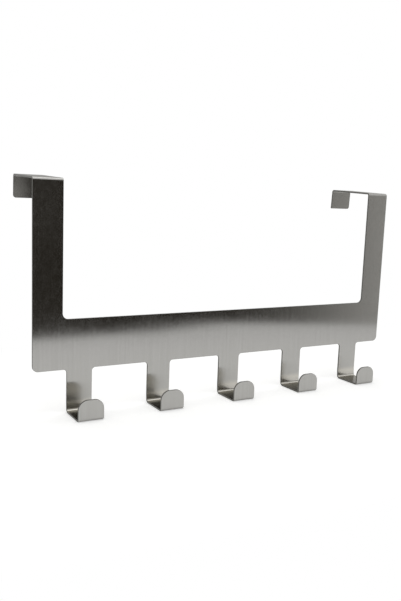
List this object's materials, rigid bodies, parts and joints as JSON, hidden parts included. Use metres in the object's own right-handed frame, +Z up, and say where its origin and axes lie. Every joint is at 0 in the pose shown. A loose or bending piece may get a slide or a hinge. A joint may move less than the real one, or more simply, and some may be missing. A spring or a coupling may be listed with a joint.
{
  "type": "over door hook",
  "caption": "U-shaped rack folded from one brushed steel sheet: straps reach over a door's top, and square hooks stand below the bar.",
  "frame": {"origin": "middle of the door's top front edge: on the plate's back face, level with the underside of the straps, half way along the rack", "axes": "+X to the right seen from the front, +Y into the door towards the rear lips, +Z up; the hooks stand out towards -Y"},
  "size_m": [0.305, 0.071, 0.1595],
  "materials": {
    "brushed_steel": "satin brushed stainless steel, grain running up and down"
  },
  "bodies": {
    "root": {"hook_rack": "brushed_steel"}
  },
  "joints": []
}
